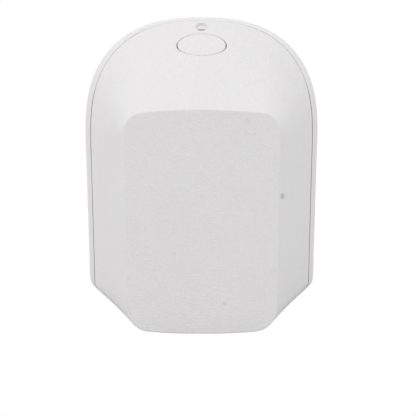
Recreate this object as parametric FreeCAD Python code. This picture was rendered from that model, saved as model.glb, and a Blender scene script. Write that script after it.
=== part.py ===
import FreeCAD, Part
import math
import os

from FreeCAD import Vector

# A wall-mounted wireless motion detector, standing on its underside.
# X runs across it, -Y is its front and +Z is up. The origin is under its middle. Sizes are in millimetres.

# Outside, from the flat lens panel back to the wall
panel_to_seam = 44.6
seam_to_wall = 7.0

# The lens panel's outline. A spread is how much wider an outline is at its shoulders than at its foot.
panel_width_low = 37.0
panel_spread = 1.04
panel_height = 55.2
panel_top_rise = 0.64
panel_bottom_rise = 0.43
panel_upper_corner = 5.0
panel_lower_corner = 6.15
panel_edge_round = 0.3

# The outline where the cover meets the rear housing. The top flare is how far the top rises on its way there.
seam_width_low = 56.95
seam_spread = 1.5
top_flare = 18.2
seam_lower_corner = 3.8

# The outline against the wall
wall_width_low = 59.95
wall_spread = 1.75
rear_top_flare = 0.35
wall_lower_corner = 3.7
wall_edge_round = 0.8

# The arch over the seam and wall outlines
arch_base_height = 43.1
arch_power = 2.48
foot_rise = 0.43
foot_flattening = 0.08
side_hollow = 0.144
top_bulge = 0.136

# Walls and the joint between the two shells. The cover's rim is bowed, so the gap widens from crown to sides.
cover_wall = 2.0
cover_front_wall = 1.6
housing_wall = 2.0
reveal_gap = 0.15
rim_bow_radius = 915.0
lip_clearance = 0.3
lip_thickness = 1.2
lip_length = 2.3
lip_root = 1.5
lip_gap_half_width = 4.0

# How far a cutting shape runs past the face that it opens, and how near counts as the same place
overrun = 1.0
near = 0.01
rim_search = 0.2

# Lens and its frame
window_inset = 3.2
lens_flange_thickness = 0.7
lens_skirt = 1.0
clear_view_corner = 1.5
lens_web = 0.9
lens_frame_clearance = 0.15
retainer_thickness = 1.2
lens_rows = 3
lens_columns = 5
lens_rib_width = 0.4
lens_rib_height = 0.25
lens_ring_width = 0.35
lens_ring_pitch = 1.0
lens_rings = 2

# Test button on the sloping top
button_from_seam = 13.65
button_diameter = 12.3
button_gap = 0.25
button_edge_round = 0.25
button_hole_edge_round = 0.2
button_flange = 0.9
button_flange_thickness = 0.8
button_flange_gap = 0.5
button_stem_diameter = 4.0
button_travel = 0.6
stem_to_plunger_gap = 0.2

# Status light in the top
light_from_seam = 3.95
light_hole_width = 3.16
light_hole_length = 5.0
light_hole_depth = 0.5
light_pipe_width = 1.95
light_pipe_breadth = 1.7
light_pipe_below_middle = 1.19
light_pipe_length = 3.6
light_pipe_lean = 0.3
light_boss_diameter = 3.8
light_boss_sink = 0.5
light_boss_length = 2.0

# Circuit board
board_thickness = 1.6
board_from_seam = 5.5
board_edge_clearance = 2.4
board_corner = 1.5
boss_diameter = 5.0
boss_hole_spare = 1.0
board_hole_diameter = 2.6
upper_screw_x = 18.5
upper_screw_below_crown = 16.1
lower_screw_x = 20.2
lower_screw_z = 29.0

# Board screws
screw_head_diameter = 4.0
screw_head_height = 1.4
screw_shank_diameter = 2.2
screw_length = 6.0
screw_recess_width = 0.6
screw_recess_length = 2.2
screw_recess_depth = 0.7

# Wall screw holes, and the holes in the board that a screwdriver passes through
wall_hole_diameter = 4.2
wall_hole_spacing = 26.0
wall_hole_z = 49.0
driver_hole_diameter = 7.0

# Infrared sensor
sensor_z = 36.0
sensor_can_diameter = 8.2
sensor_foot_diameter = 9.15
sensor_can_height = 4.7
sensor_can_wall = 0.35
sensor_foot_thickness = 0.6
sensor_base_thickness = 0.9
sensor_spacer_height = 3.0
sensor_spacer_diameter = 9.6
sensor_spacer_bore = 6.6
sensor_window_width = 4.0
sensor_window_height = 3.0
sensor_window_margin = 0.6
sensor_window_thickness = 0.5
sensor_lead_count = 3
sensor_lead_diameter = 0.45
sensor_lead_circle = 5.08
sensor_lead_tail = 1.2
sensor_lead_hole = 0.7

# Battery cell and its cradle
cell_diameter = 17.0
cell_length = 34.5
cell_nub_diameter = 6.4
cell_nub_length = 1.0
cell_edge_round = 0.8
cell_z = 15.2
cell_clearance = 0.3
cradle_floor = 1.0
cradle_wall = 1.2
cradle_end_reach = 3.0
contact_thickness = 0.4
contact_width = 9.0
contact_gap = 0.3

# Push switch under the button
switch_width = 6.0
switch_height = 4.3
switch_plunger_diameter = 3.0
switch_plunger_length = 2.9
switch_plunger_seat = 1.2
switch_spare_travel = 0.3
switch_fit = 0.05
switch_depth = 6.2

# Tamper switch behind the board
tamper_x = -9.0
tamper_z = 27.0
tamper_width = 6.0
tamper_body_depth = 3.4
tamper_plunger_diameter = 3.0
tamper_hole_diameter = 3.8
tamper_recess = 0.4
tamper_seat = 1.0
tamper_travel = 0.8
tamper_spare_travel = 0.3

# Radio board, its screening can and the antenna
radio_x = -15.0
radio_z = 38.5
radio_width = 13.0
radio_height = 11.0
radio_thickness = 0.8
shield_margin = 0.9
shield_height = 1.8
shield_wall = 0.2
radio_chip_size = 5.0
radio_chip_height = 0.9
antenna_x = 21.2
antenna_low_z = 33.5
antenna_length = 15.0
antenna_width = 1.2
antenna_stand = 4.0
antenna_thickness = 0.3
antenna_feed_z = 3.4

# Other parts on the board
chip_x = 11.5
chip_z = 38.0
chip_size = 7.0
chip_height = 1.0
chip_pin_count = 8
chip_pin_pitch = 0.75
chip_pin_width = 0.35
chip_pin_reach = 0.9
chip_pin_height = 0.25
capacitor_x = 12.0
capacitor_z = 30.0
capacitor_diameter = 5.0
capacitor_height = 5.4
capacitor_base_height = 0.8
capacitor_base_size = 5.4
light_source_width = 3.0
light_source_height = 1.6
light_source_depth = 1.3
light_source_below_edge = 0.6
crystal_from_chip = 0.3
crystal_length = 4.8
crystal_width = 1.8
crystal_height = 1.0
crystal_corner = 0.55
small_part_length = 1.6
small_part_width = 0.8
small_part_height = 0.5
small_part_pitch = 1.9
small_part_side_x = 4.6
small_part_lower_z = 28.4
small_parts_per_row = 3

# Derived sizes and places
panel_width_high = panel_width_low + panel_spread
seam_width_high = seam_width_low + seam_spread
wall_width_high = wall_width_low + wall_spread
seam_height = panel_height + top_flare
wall_height = seam_height + rear_top_flare
total_depth = panel_to_seam + seam_to_wall
front_y = -total_depth / 2
seam_y = front_y + panel_to_seam
wall_y = front_y + total_depth
cover_back_y = seam_y - reveal_gap
chamfer_y = front_y + total_depth - wall_edge_round
board_front_y = seam_y - board_from_seam
board_back_y = board_front_y + board_thickness
housing_floor_y = wall_y - housing_wall
lens_back_y = front_y + cover_front_wall
flange_back_y = lens_back_y + lens_flange_thickness
cell_y = board_front_y - cradle_floor - cell_clearance - cell_diameter / 2

# Counts of outline points in each stretch of one half
FOOT_STEPS = 4
LOWER_CORNER_STEPS = 6
SIDE_STEPS = 7
SHOULDER_STEPS = 10
CROWN_STEPS = 8
ARCH_STEPS = SHOULDER_STEPS + CROWN_STEPS


def foot_and_side(half_low, half_high, corner, rise, side_top):
    """Half an outline from the middle of its underside up to the top of its straight side."""
    points = []
    foot_x = half_low - corner
    side_low = rise + corner
    for i in range(FOOT_STEPS):
        x = foot_x * i / FOOT_STEPS
        points.append((x, (rise + foot_flattening) * (x / foot_x) ** 2 - foot_flattening))
    for i in range(LOWER_CORNER_STEPS):
        turn = math.pi / 2 * i / LOWER_CORNER_STEPS
        points.append((foot_x + corner * math.sin(turn), side_low - corner * math.cos(turn)))
    for i in range(SIDE_STEPS):
        share = i / SIDE_STEPS
        points.append((half_low + (half_high - half_low) * share, side_low + (side_top - side_low) * share))
    return points


def arch(half_width, base_z, height):
    """Half a rounded arch, from the top of the side to the crown."""
    points = []
    for i in range(ARCH_STEPS + 1):
        turn = math.pi / 2 * i / ARCH_STEPS
        x = half_width * max(math.cos(turn), 0.0) ** (2 / arch_power)
        points.append((x, base_z + height * math.sin(turn) ** (2 / arch_power)))
    return points


def panel_arch():
    """Half the panel's upper edge: a rounded corner, then a gently bowed top."""
    points = []
    half = panel_width_high / 2
    radius = panel_upper_corner
    centre = (half - radius, panel_height - panel_top_rise - radius)
    for i in range(SHOULDER_STEPS):
        turn = math.pi / 2 * i / SHOULDER_STEPS
        points.append((centre[0] + radius * math.cos(turn), centre[1] + radius * math.sin(turn)))
    for i in range(CROWN_STEPS + 1):
        x = centre[0] * (1 - i / CROWN_STEPS)
        points.append((x, panel_height - panel_top_rise * (x / centre[0]) ** 2))
    return points


def whole(half):
    """Close a half outline by its mirror image."""
    return half + [(-x, z) for x, z in reversed(half[1:-1])]


side_top_of_panel = panel_height - panel_top_rise - panel_upper_corner
panel_side = foot_and_side(
    panel_width_low / 2, panel_width_high / 2, panel_lower_corner, panel_bottom_rise, side_top_of_panel
)
panel_ring = whole(panel_side + panel_arch())
seam_ring = whole(
    foot_and_side(seam_width_low / 2, seam_width_high / 2, seam_lower_corner, foot_rise, arch_base_height)
    + arch(seam_width_high / 2, arch_base_height, seam_height - arch_base_height)
)
wall_ring = whole(
    foot_and_side(wall_width_low / 2, wall_width_high / 2, wall_lower_corner, foot_rise, arch_base_height)
    + arch(wall_width_high / 2, arch_base_height, wall_height - arch_base_height)
)


def knots():
    """Even-handed spacing for the outline curves, shared by all so that they match point for point."""
    values = [0.0]
    count = len(seam_ring)
    for i in range(count):
        step = 0.0
        for ring in (panel_ring, seam_ring):
            a, b = ring[i], ring[(i + 1) % count]
            step += math.hypot(b[0] - a[0], b[1] - a[1]) / 2
        values.append(values[-1] + step)
    return values


KNOTS = knots()


def ring_at(y):
    """The outline at a depth y: slightly hollow sides and a bowed top up to the seam, then straight."""
    if y <= seam_y:
        share = (y - front_y) / panel_to_seam
        across = share - side_hollow * share * (1 - share)
        up = share + top_bulge * share * (1 - share)
        low, high = panel_ring, seam_ring
    else:
        across = up = min(1.0, (y - seam_y) / (seam_to_wall - wall_edge_round))
        low, high = seam_ring, wall_ring
    return [(a[0] + (b[0] - a[0]) * across, a[1] + (b[1] - a[1]) * up) for a, b in zip(low, high)]


def curve_at(y, inset=0.0, shape_y=None):
    """A closed curve at depth y, drawn in by inset. shape_y takes the outline of another depth."""
    ring = ring_at(y if shape_y is None else shape_y)
    curve = Part.BSplineCurve()
    curve.interpolate(Points=[Vector(x, y, z) for x, z in ring], PeriodicFlag=True, Parameters=KNOTS)
    if inset == 0.0:
        return curve
    moved = []
    for knot, (x, z) in zip(KNOTS, ring):
        along = curve.tangent(knot)[0]
        moved.append(Vector(x - along.z * inset, y, z + along.x * inset))
    inner = Part.BSplineCurve()
    inner.interpolate(Points=moved, PeriodicFlag=True, Parameters=KNOTS)
    return inner


def body_between(depths, inset=0.0, ruled=False):
    """A solid that follows the outside form through the given depths, drawn in by inset."""
    wires = [Part.Wire(curve_at(y, inset).toShape()) for y in depths]
    return Part.makeLoft(wires, True, ruled)


def straight_body(y0, y1, inset, shape_y):
    """A prism along Y with the outline of depth shape_y."""
    wire = Part.Wire(curve_at(y0, inset, shape_y).toShape())
    return Part.Face(wire).extrude(Vector(0, y1 - y0, 0))


def box(x0, x1, y0, y1, z0, z1):
    return Part.makeBox(x1 - x0, y1 - y0, z1 - z0, Vector(x0, y0, z0))


def rod(diameter, start, direction, length):
    return Part.makeCylinder(diameter / 2, length, start, direction)


def along_y(diameter, x, z, y0, y1):
    return rod(diameter, Vector(x, y0, z), Vector(0, 1, 0), y1 - y0)


def top_place(from_seam):
    """A point on the middle line of the sloping top, and the ways into the top and down its slope."""
    y = seam_y - from_seam
    low, middle, high = (Vector(0, d, max(z for x, z in ring_at(d))) for d in (y - near, y, y + near))
    down = (low - high).normalize()
    return middle, Vector(0, -down.z, down.y), down


def round_rim(shape, centre, radius, edge_round):
    """Round the edge that runs round a centre on the sloping top at the given radius."""
    rim = []
    for edge in shape.Edges:
        offsets = [abs(point.distanceToPoint(centre) - radius) for point in edge.discretize(9)]
        if max(offsets) < rim_search:
            rim.append(edge)
    return shape.makeFillet(edge_round, rim)


def stations(y0, y1, count=5):
    """Evenly spaced depths for a loft."""
    return [y0 + (y1 - y0) * i / (count - 1) for i in range(count)]


def save(name, shape):
    shape.exportStep("parts/" + name + ".step")
    print(name, "solids", len(shape.Solids), "volume", round(shape.Volume, 2), "valid", shape.isValid())


os.makedirs("parts", exist_ok=True)

# Front cover: a flared shell, open at the back, with a window for the lens
outer_form = body_between(stations(front_y, seam_y))
panel_edges = [e for e in outer_form.Edges if all(abs(v.y - front_y) < near for v in e.discretize(5))]
outer_form = outer_form.makeFillet(panel_edge_round, panel_edges)
far = 2 * wall_height
underside = box(-far, far, -far, far, -far, 0.0)
rim_form = rod(2 * rim_bow_radius, Vector(0, cover_back_y - rim_bow_radius, -far), Vector(0, 0, 1), 2 * far)
behind_cover = box(-far, far, -far, far, -far, far).cut(rim_form)
cover_cavity = body_between(stations(lens_back_y, seam_y), cover_wall)
window = straight_body(front_y - overrun, lens_back_y + overrun, window_inset, front_y)

button_centre, press_way = top_place(button_from_seam)[:2]
button_top = button_centre - press_way * cover_wall
button_hole = rod(button_diameter + 2 * button_gap, button_top, press_way, 3 * cover_wall)

light_centre, light_way, light_down = top_place(light_from_seam)
light_floor = light_centre + light_way * light_hole_depth + light_down * light_pipe_below_middle
pipe_way = Vector(0, light_pipe_lean, -1)


def light_pipe_block(length):
    """The light pipe's block: its top lies in the recess's floor and it leans back on its way down."""
    half_across = Vector(light_pipe_width / 2, 0, 0)
    half_along = light_down * (light_pipe_breadth / 2)
    corners = [
        light_floor - half_across - half_along,
        light_floor + half_across - half_along,
        light_floor + half_across + half_along,
        light_floor - half_across + half_along,
    ]
    return Part.Face(Part.makePolygon(corners + corners[:1])).extrude(pipe_way * length)


light_boss = rod(light_boss_diameter, light_floor + pipe_way * light_boss_sink, pipe_way, light_boss_length)
oval_centre = light_centre - light_way * cover_wall
oval = Part.Ellipse(
    oval_centre + light_down * (light_hole_length / 2),
    oval_centre + Vector(light_hole_width / 2, 0, 0),
    oval_centre,
)
light_recess = Part.Face(Part.Wire(oval.toShape())).extrude(light_way * (cover_wall + light_hole_depth))
light_bore = light_pipe_block(light_pipe_length)

front_cover = outer_form.cut([behind_cover, cover_cavity, underside]).fuse(light_boss.cut(behind_cover))
front_cover = front_cover.cut([window, button_hole])
front_cover = round_rim(front_cover, button_centre, button_diameter / 2 + button_gap, button_hole_edge_round)
front_cover = front_cover.cut([light_recess, light_bore])
save("front_cover", front_cover)

# Lens: a thin panel with a skirt and a flange that seats on the back of the cover's front wall
flange_inset = cover_wall + lens_frame_clearance
lens = straight_body(front_y, lens_back_y, window_inset, front_y)
lens = lens.fuse(straight_body(lens_back_y, flange_back_y, flange_inset, lens_back_y))
web_back_y = front_y + lens_web
lens_half_width = panel_width_low / 2 - window_inset - lens_skirt
lens_low = window_inset + lens_skirt + panel_bottom_rise
lens_high = panel_height - panel_top_rise - window_inset - lens_skirt


def clear_view(y0, y1):
    """The round-cornered space that the lens looks through."""
    space = box(-lens_half_width, lens_half_width, y0, y1, lens_low, lens_high)
    corners = [e for e in space.Edges if abs(abs(e.tangentAt(e.FirstParameter).y) - 1) < near]
    return space.makeFillet(clear_view_corner, corners)


lens = lens.cut(clear_view(web_back_y, flange_back_y + overrun))
cell_width = 2 * lens_half_width / lens_columns
cell_height = (lens_high - lens_low) / lens_rows
rib_y = web_back_y + lens_rib_height
rib_end_x = lens_half_width + lens_skirt / 2
half_rib = lens_rib_width / 2
lens_ribs = []
for i in range(1, lens_columns):
    x = -lens_half_width + cell_width * i
    lens_ribs.append(box(x - half_rib, x + half_rib, web_back_y, rib_y, lens_low, lens_high))
for i in range(1, lens_rows):
    z = lens_low + cell_height * i
    lens_ribs.append(box(-rib_end_x, rib_end_x, web_back_y, rib_y, z - half_rib, z + half_rib))
for column in range(lens_columns):
    for row in range(lens_rows):
        x = -lens_half_width + cell_width * (column + 0.5)
        z = lens_low + cell_height * (row + 0.5)
        for i in range(1, lens_rings + 1):
            radius = lens_ring_pitch * i
            ring = along_y(2 * radius + lens_ring_width, x, z, web_back_y, rib_y)
            lens_ribs.append(ring.cut(along_y(2 * radius - lens_ring_width, x, z, web_back_y, rib_y)))
lens = lens.fuse(lens_ribs).removeSplitter()
save("fresnel_lens", lens)

# Lens retainer: a frame pressed in behind the lens's flange
retainer_back_y = flange_back_y + retainer_thickness
lens_retainer = straight_body(flange_back_y, retainer_back_y, flange_inset, flange_back_y)
lens_retainer = lens_retainer.cut(clear_view(flange_back_y - overrun, retainer_back_y + overrun))
save("lens_retainer", lens_retainer)

# Test button: a round cap that is flush with the sloping top, a flange under it and a stem down to the switch
flange_depth = cover_wall + button_flange_gap
cap_length = cover_wall + flange_depth
test_button = rod(button_diameter, button_top, press_way, cap_length).common(outer_form)
test_button = round_rim(test_button, button_centre, button_diameter / 2, button_edge_round)
flange_start = button_centre + press_way * flange_depth
test_button = test_button.fuse(
    rod(button_diameter + 2 * button_flange, flange_start, press_way, button_flange_thickness)
)
switch_front_y = board_front_y - switch_depth
switch_y = board_front_y - switch_depth / 2
stem_reach = (switch_y - button_centre.y) / press_way.y
stem_end_z = button_centre.z + press_way.z * stem_reach
stem = rod(button_stem_diameter, flange_start, press_way, stem_reach)
stem = stem.cut(box(-far, far, -far, far, -far, stem_end_z))
test_button = test_button.fuse(stem).removeSplitter()
save("test_button", test_button)

# Light pipe: a short dark block in the cover's boss, below the small hole and above the light source
save("light_pipe", light_pipe_block(light_pipe_length))

# Rear housing: a shallow tray that carries the board, with a lip that the cover slides over
lip_front_y = seam_y - lip_length
lip_root_y = seam_y + lip_root
lip_inset = cover_wall + lip_clearance
tray_wall = lip_inset + lip_thickness
rear_housing = body_between([seam_y, chamfer_y], 0.0, True)
chamfer_front = Part.Wire(curve_at(chamfer_y).toShape())
chamfer_back = Part.Wire(curve_at(wall_y, wall_edge_round).toShape())
rear_housing = rear_housing.fuse(Part.makeLoft([chamfer_front, chamfer_back], True, True))
rear_housing = rear_housing.cut(body_between([lip_root_y, housing_floor_y], housing_wall, True))
lip = body_between([lip_front_y, seam_y], lip_inset, True)
lip_notch = box(-lip_gap_half_width, lip_gap_half_width, lip_front_y - overrun, seam_y, wall_height / 2, far)
rear_housing = rear_housing.fuse(lip.cut(lip_notch))
tray_mouth = body_between([lip_front_y, seam_y], tray_wall, True)
rear_housing = rear_housing.cut([tray_mouth, straight_body(seam_y, lip_root_y, tray_wall, seam_y), underside])

upper_screw_z = seam_height - upper_screw_below_crown
screw_places = [
    (-upper_screw_x, upper_screw_z),
    (upper_screw_x, upper_screw_z),
    (-lower_screw_x, lower_screw_z),
    (lower_screw_x, lower_screw_z),
]
boss_hole_end_y = board_front_y + screw_length + boss_hole_spare
for x, z in screw_places:
    rear_housing = rear_housing.fuse(along_y(boss_diameter, x, z, board_back_y, housing_floor_y))
    rear_housing = rear_housing.cut(along_y(screw_shank_diameter, x, z, board_back_y, boss_hole_end_y))
wall_hole_places = [(-wall_hole_spacing / 2, wall_hole_z), (wall_hole_spacing / 2, wall_hole_z)]
drill_y0 = housing_floor_y - overrun
drill_y1 = wall_y + overrun
back_holes = [along_y(wall_hole_diameter, x, z, drill_y0, drill_y1) for x, z in wall_hole_places]
back_holes.append(along_y(tamper_hole_diameter, tamper_x, tamper_z, drill_y0, drill_y1))
rear_housing = rear_housing.cut(back_holes).removeSplitter()
save("rear_housing", rear_housing)

# Circuit board: straight foot and sides, round lower corners and an arched top, inside the cavity's outline
board_inset = cover_wall + board_edge_clearance
board_ring = ring_at(board_front_y)
side_foot_x = board_ring[FOOT_STEPS + LOWER_CORNER_STEPS][0] - board_inset
side_top_x, side_top_z = board_ring[FOOT_STEPS + LOWER_CORNER_STEPS + SIDE_STEPS]
side_top_x -= board_inset
board_bottom_z = foot_rise + board_inset
board_top_z = max(z for x, z in board_ring) - board_inset
half_arch = arch(side_top_x, side_top_z, board_top_z - side_top_z)
board_arch = Part.BSplineCurve()
arch_points = half_arch + [(-x, z) for x, z in reversed(half_arch[:-1])]
board_arch.interpolate([Vector(x, board_front_y, z) for x, z in arch_points])
board_corners = [
    Vector(-side_top_x, board_front_y, side_top_z),
    Vector(-side_foot_x, board_front_y, board_bottom_z),
    Vector(side_foot_x, board_front_y, board_bottom_z),
    Vector(side_top_x, board_front_y, side_top_z),
]
board_lines = [Part.LineSegment(a, b).toShape() for a, b in zip(board_corners, board_corners[1:])]
board_outline = Part.Wire([board_arch.toShape()] + board_lines)
board = Part.Face(board_outline).extrude(Vector(0, board_thickness, 0))
short_edges = [e for e in board.Edges if abs(e.Length - board_thickness) < near]
foot_edges = [e for e in short_edges if abs(e.CenterOfMass.z - board_bottom_z) < near]
board = board.makeFillet(board_corner, foot_edges)
lead_places = []
for i in range(sensor_lead_count):
    turn = math.pi / 2 + 2 * math.pi / sensor_lead_count * i
    lead_x = sensor_lead_circle / 2 * math.cos(turn)
    lead_places.append((lead_x, sensor_z + sensor_lead_circle / 2 * math.sin(turn)))
board_holes = [along_y(board_hole_diameter, x, z, board_front_y, board_back_y) for x, z in screw_places]
board_holes += [along_y(driver_hole_diameter, x, z, board_front_y, board_back_y) for x, z in wall_hole_places]
board_holes += [along_y(sensor_lead_hole, x, z, board_front_y, board_back_y) for x, z in lead_places]
board = board.cut(board_holes)
save("circuit_board", board)

# Board screws: round heads with a cross recess
screws = []
for x, z in screw_places:
    head = along_y(screw_head_diameter, x, z, board_front_y - screw_head_height, board_front_y)
    head_rim = [e for e in head.Edges if abs(e.CenterOfMass.y - (board_front_y - screw_head_height)) < near]
    head = head.makeFillet(screw_head_height / 2, head_rim)
    screw = head.fuse(along_y(screw_shank_diameter, x, z, board_front_y, board_front_y + screw_length))
    recess_y = board_front_y - screw_head_height + screw_recess_depth
    long_half = screw_recess_length / 2
    short_half = screw_recess_width / 2
    recess_start_y = board_front_y - screw_length
    for half_x, half_z in ((long_half, short_half), (short_half, long_half)):
        screw = screw.cut(box(x - half_x, x + half_x, recess_start_y, recess_y, z - half_z, z + half_z))
    screws.append(screw.removeSplitter())
save("board_screws", Part.makeCompound(screws))

# Infrared sensor: a metal can on a base plate, held off the board by a spacer ring
sensor_back_y = board_front_y - sensor_spacer_height
sensor_front_y = sensor_back_y - sensor_can_height
sensor_can = along_y(sensor_can_diameter, 0, sensor_z, sensor_front_y, sensor_back_y)
can_rim = [e for e in sensor_can.Edges if abs(e.CenterOfMass.y - sensor_front_y) < near]
sensor_can = sensor_can.makeFillet(sensor_can_wall, can_rim)
sensor_can = sensor_can.fuse(
    along_y(sensor_foot_diameter, 0, sensor_z, sensor_back_y - sensor_foot_thickness, sensor_back_y)
)
can_bore = sensor_can_diameter - 2 * sensor_can_wall
can_inner_y = sensor_front_y + sensor_can_wall
sensor_can = sensor_can.cut(along_y(can_bore, 0, sensor_z, can_inner_y, sensor_back_y))
half_w = sensor_window_width / 2
half_h = sensor_window_height / 2
sensor_can = sensor_can.cut(
    box(-half_w, half_w, sensor_front_y - overrun, can_inner_y, sensor_z - half_h, sensor_z + half_h)
)
save("sensor_can", sensor_can)

half_w += sensor_window_margin
half_h += sensor_window_margin
sensor_window = box(
    -half_w, half_w, can_inner_y, can_inner_y + sensor_window_thickness, sensor_z - half_h, sensor_z + half_h
)
save("sensor_window", sensor_window)

sensor_base = along_y(can_bore, 0, sensor_z, sensor_back_y - sensor_base_thickness, sensor_back_y)
save("sensor_base", sensor_base)

lead_end_y = board_back_y + sensor_lead_tail
leads = [along_y(sensor_lead_diameter, x, z, sensor_back_y, lead_end_y) for x, z in lead_places]
save("sensor_leads", Part.makeCompound(leads))

sensor_spacer = along_y(sensor_spacer_diameter, 0, sensor_z, sensor_back_y, board_front_y)
sensor_spacer = sensor_spacer.cut(along_y(sensor_spacer_bore, 0, sensor_z, sensor_back_y, board_front_y))
save("sensor_spacer", sensor_spacer)

# Battery cell, lying across the lower half of the board
cell_end_x = cell_length / 2
cell_start = Vector(-cell_end_x, cell_y, cell_z)
cell_can = rod(cell_diameter, cell_start, Vector(1, 0, 0), cell_length - cell_nub_length)
cell_can = cell_can.makeFillet(cell_edge_round, [e for e in cell_can.Edges if e.Closed])
nub_x = cell_end_x - cell_nub_length
cell = cell_can.fuse(rod(cell_nub_diameter, Vector(nub_x, cell_y, cell_z), Vector(1, 0, 0), cell_nub_length))
save("battery_cell", cell)

# Battery cradle: a trough on the board with an upright wall at each end
trough_half = cell_diameter / 2 + cell_clearance + cradle_wall
bay_half = cell_end_x + contact_gap + contact_thickness
cradle_end_x = bay_half + cradle_wall
cradle = box(-bay_half, bay_half, cell_y, board_front_y, cell_z - trough_half, cell_z + trough_half)
bay_start = Vector(-bay_half, cell_y, cell_z)
cradle = cradle.cut(rod(cell_diameter + 2 * cell_clearance, bay_start, Vector(1, 0, 0), 2 * bay_half))
end_front_y = cell_y - cradle_end_reach
for x0, x1 in ((-cradle_end_x, -bay_half), (bay_half, cradle_end_x)):
    cradle = cradle.fuse(box(x0, x1, end_front_y, board_front_y, cell_z - trough_half, cell_z + trough_half))
save("battery_cradle", cradle.removeSplitter())

# Battery contacts: spring-metal plates against the end walls
contact_z0 = cell_z - contact_width / 2
contact_z1 = cell_z + contact_width / 2
contact_back_y = cell_y + contact_width / 2
contact = box(bay_half - contact_thickness, bay_half, end_front_y, contact_back_y, contact_z0, contact_z1)
save("battery_contact_positive", contact)
contact = box(-bay_half, contact_thickness - bay_half, end_front_y, contact_back_y, contact_z0, contact_z1)
save("battery_contact_negative", contact)

# Push switch under the button's stem, and its plunger
plunger_top_z = stem_end_z - stem_to_plunger_gap
switch_top_z = plunger_top_z - switch_plunger_length
switch_half = switch_width / 2
switch_low_z = switch_top_z - switch_height
push_switch = box(-switch_half, switch_half, switch_front_y, board_front_y, switch_low_z, switch_top_z)
plunger_base = Vector(0, switch_y, switch_top_z - switch_plunger_seat)
switch_bore_length = switch_plunger_seat + button_travel + switch_spare_travel
switch_bore = rod(
    switch_plunger_diameter + 2 * switch_fit,
    Vector(0, switch_y, switch_top_z - switch_bore_length),
    Vector(0, 0, 1),
    switch_bore_length,
)
push_switch = push_switch.cut(switch_bore)
save("push_switch", push_switch)
switch_plunger = rod(
    switch_plunger_diameter, plunger_base, Vector(0, 0, 1), switch_plunger_length + switch_plunger_seat
)
save("push_switch_plunger", switch_plunger)

# Status light on the back of the board, at its upper edge under the light pipe
source_top_z = board_top_z - light_source_below_edge
status_light = box(
    -light_source_width / 2,
    light_source_width / 2,
    board_back_y,
    board_back_y + light_source_depth,
    source_top_z - light_source_height,
    source_top_z,
)
save("status_light", status_light)

# Tamper switch on the back of the board; its plunger ends just inside the rear wall's hole
tamper_back_y = board_back_y + tamper_body_depth
tamper_switch = box(
    tamper_x - tamper_width / 2,
    tamper_x + tamper_width / 2,
    board_back_y,
    tamper_back_y,
    tamper_z - tamper_width / 2,
    tamper_z + tamper_width / 2,
)
tamper_bore = tamper_plunger_diameter + 2 * switch_fit
tamper_bore_y = tamper_back_y - tamper_seat - tamper_travel - tamper_spare_travel
tamper_switch = tamper_switch.cut(along_y(tamper_bore, tamper_x, tamper_z, tamper_bore_y, tamper_back_y))
save("tamper_switch", tamper_switch)
tamper_plunger = along_y(
    tamper_plunger_diameter, tamper_x, tamper_z, tamper_back_y - tamper_seat, wall_y - tamper_recess
)
save("tamper_plunger", tamper_plunger)


def on_board(x, z, width, height, thickness, base_y=board_front_y):
    """A flat block on the front of the board."""
    return box(x - width / 2, x + width / 2, base_y - thickness, base_y, z - height / 2, z + height / 2)


# Radio: a small board with a chip under a metal screen
save("radio_board", on_board(radio_x, radio_z, radio_width, radio_height, radio_thickness))
radio_front_y = board_front_y - radio_thickness
save(
    "radio_chip",
    on_board(radio_x, radio_z, radio_chip_size, radio_chip_size, radio_chip_height, radio_front_y),
)
shield_width = radio_width - 2 * shield_margin
shield_length = radio_height - 2 * shield_margin
radio_shield = on_board(radio_x, radio_z, shield_width, shield_length, shield_height, radio_front_y)
shield_hollow = on_board(
    radio_x,
    radio_z,
    shield_width - 2 * shield_wall,
    shield_length - 2 * shield_wall,
    shield_height - shield_wall,
    radio_front_y,
)
save("radio_shield", radio_shield.cut(shield_hollow))

# Antenna: a stamped strip that stands on two legs beside the radio's feed
antenna_x0 = antenna_x - antenna_thickness / 2
antenna_x1 = antenna_x + antenna_thickness / 2
antenna_front_y = board_front_y - antenna_stand
antenna = box(
    antenna_x0,
    antenna_x1,
    antenna_front_y,
    antenna_front_y + antenna_width,
    antenna_low_z,
    antenna_low_z + antenna_length,
)
for leg_z in (antenna_low_z, antenna_low_z + antenna_feed_z):
    antenna = antenna.fuse(
        box(antenna_x0, antenna_x1, antenna_front_y, board_front_y, leg_z, leg_z + antenna_width)
    )
save("antenna", antenna.removeSplitter())

# Controller chip and its pins
save("controller_chip", on_board(chip_x, chip_z, chip_size, chip_size, chip_height))
pins = []
pin_offset = chip_size / 2 + chip_pin_reach / 2
for i in range(chip_pin_count):
    along = (i - (chip_pin_count - 1) / 2) * chip_pin_pitch
    for out in (-pin_offset, pin_offset):
        pins.append(on_board(chip_x + along, chip_z + out, chip_pin_width, chip_pin_reach, chip_pin_height))
        pins.append(on_board(chip_x + out, chip_z + along, chip_pin_reach, chip_pin_width, chip_pin_height))
save("chip_pins", Part.makeCompound(pins))

# Smoothing capacitor: a metal can on a plastic foot
save(
    "capacitor_foot",
    on_board(capacitor_x, capacitor_z, capacitor_base_size, capacitor_base_size, capacitor_base_height),
)
capacitor_base_y = board_front_y - capacitor_base_height
capacitor = along_y(
    capacitor_diameter, capacitor_x, capacitor_z, capacitor_base_y - capacitor_height, capacitor_base_y
)
save("smoothing_capacitor", capacitor)

# Timing crystal
crystal_z = chip_z + chip_size / 2 + chip_pin_reach + crystal_from_chip + crystal_width / 2
crystal = on_board(chip_x, crystal_z, crystal_length, crystal_width, crystal_height)
crystal_uprights = [e for e in crystal.Edges if abs(e.Length - crystal_height) < near]
crystal = crystal.makeFillet(crystal_corner, crystal_uprights)
save("timing_crystal", crystal)

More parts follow.
